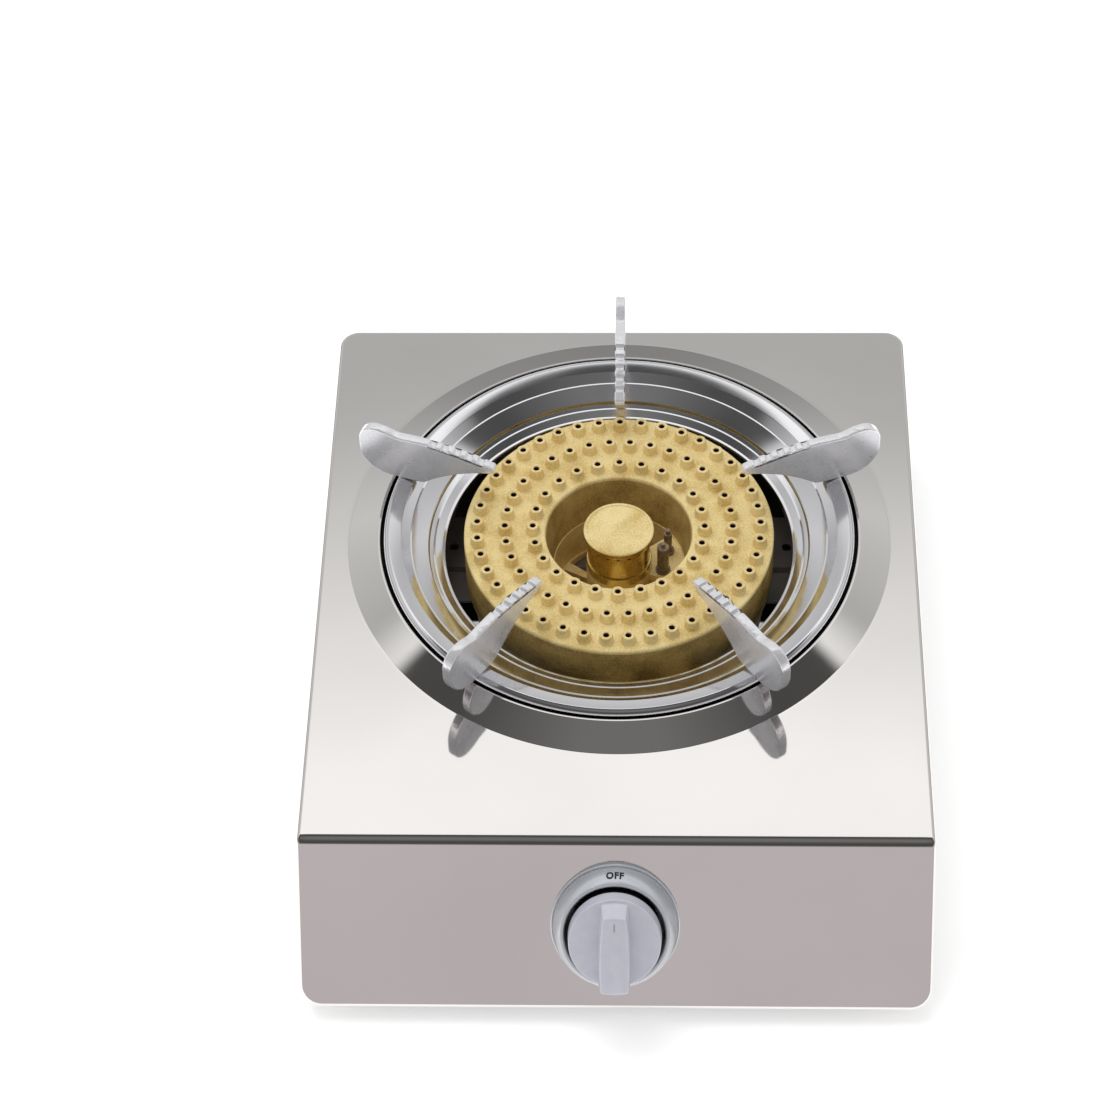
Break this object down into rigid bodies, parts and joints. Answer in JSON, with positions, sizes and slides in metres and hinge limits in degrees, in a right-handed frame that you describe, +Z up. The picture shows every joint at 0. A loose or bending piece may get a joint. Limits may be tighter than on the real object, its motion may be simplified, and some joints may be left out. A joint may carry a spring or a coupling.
{
  "type": "tabletop gas stove",
  "caption": "Single-burner tabletop gas stove: folded steel case with sloped front, stepped drip pan with notched pot supports, cast burner with ported cap, push-and-turn knob.",
  "frame": {"origin": "middle of the stove's outline on the surface it stands on", "axes": "+Z up, +Y from the knob to the back, +X to the right seen from the front"},
  "size_m": [0.2914, 0.4112, 0.1169],
  "materials": {
    "stainless_sheet": "polished stainless sheet",
    "pan_steel": "bright pressed steel",
    "galvanised_sheet": "galvanised sheet",
    "support_enamel": "silver heat-proof enamel",
    "burner_gold": "cast, gold heat-proof paint",
    "turned_brass": "turned brass",
    "black_sheet": "black coated steel",
    "electrode_ceramic": "glazed ceramic",
    "valve_casting": "die-cast aluminium",
    "plain_steel": "zinc-plated steel",
    "igniter_plastic": "black plastic",
    "knob_plastic": "silver metallic plastic",
    "pipe_aluminium": "drawn tube",
    "foot_rubber": "black rubber"
  },
  "bodies": {
    "case": {"top_panel": "stainless_sheet", "side_housing": "stainless_sheet", "base_plate": "galvanised_sheet", "foot_1": "foot_rubber", "foot_2": "foot_rubber", "foot_3": "foot_rubber", "foot_4": "foot_rubber", "foot_screws": "plain_steel", "base_screws": "plain_steel", "panel_screws": "plain_steel", "bridge_screws": "plain_steel", "burner_screws": "plain_steel", "bracket_screws": "plain_steel", "valve_screws": "plain_steel", "burner_bridge": "black_sheet", "burner_head": "burner_gold", "ignition_electrode": "electrode_ceramic", "flame_probe": "electrode_ceramic", "jet_inner": "turned_brass", "jet_outer": "turned_brass", "valve_body": "valve_casting", "valve_bracket": "galvanised_sheet", "piezo_igniter": "igniter_plastic", "knob_bezel": "knob_plastic", "gas_pipe": "pipe_aluminium", "pipe_nut": "turned_brass", "hose_nipple": "turned_brass", "inlet_nut": "turned_brass"},
    "knob_slider": {"valve_plunger": "turned_brass"},
    "knob": {"knob": "knob_plastic", "valve_stem": "plain_steel"},
    "pan": {"drip_pan": "pan_steel", "pot_support_1": "support_enamel", "pot_support_2": "support_enamel", "pot_support_3": "support_enamel", "pot_support_4": "support_enamel", "pot_support_5": "support_enamel"},
    "burner_cap": {"burner_cap": "burner_gold"},
    "centre_cap": {"centre_cap": "turned_brass"},
    "inner_shutter": {"air_shutter_inner": "plain_steel"},
    "outer_shutter": {"air_shutter_outer": "plain_steel"}
  },
  "joints": [
    {"name": "knob_push", "type": "slide", "parent": "case", "child": "knob_slider", "axis": [0, 0.8266, -0.5628], "range_m": [0, 0.004], "stiffness_N_per_m": 900, "springref_m": -0.006},
    {"name": "knob_turn", "type": "hinge", "parent": "knob_slider", "child": "knob", "pos_m": [0, -0.16582, 0.04454], "axis": [0, -0.8266, 0.5628], "range_deg": [0, 180]},
    {"name": "pan_lift", "type": "slide", "parent": "case", "child": "pan", "axis": [0, 0, 1], "range_m": [0, 0.06]},
    {"name": "burner_cap_lift", "type": "slide", "parent": "case", "child": "burner_cap", "axis": [0, 0, 1], "range_m": [0, 0.012]},
    {"name": "centre_cap_lift", "type": "slide", "parent": "case", "child": "centre_cap", "axis": [0, 0, 1], "range_m": [0, 0.07]},
    {"name": "inner_shutter_turn", "type": "hinge", "parent": "case", "child": "inner_shutter", "pos_m": [0, -0.10795, 0.0471], "axis": [0, 1, 0], "range_deg": [-25, 25]},
    {"name": "outer_shutter_turn", "type": "hinge", "parent": "case", "child": "outer_shutter", "pos_m": [0.033, -0.10795, 0.0471], "axis": [0, 1, 0], "range_deg": [-25, 25]}
  ]
}
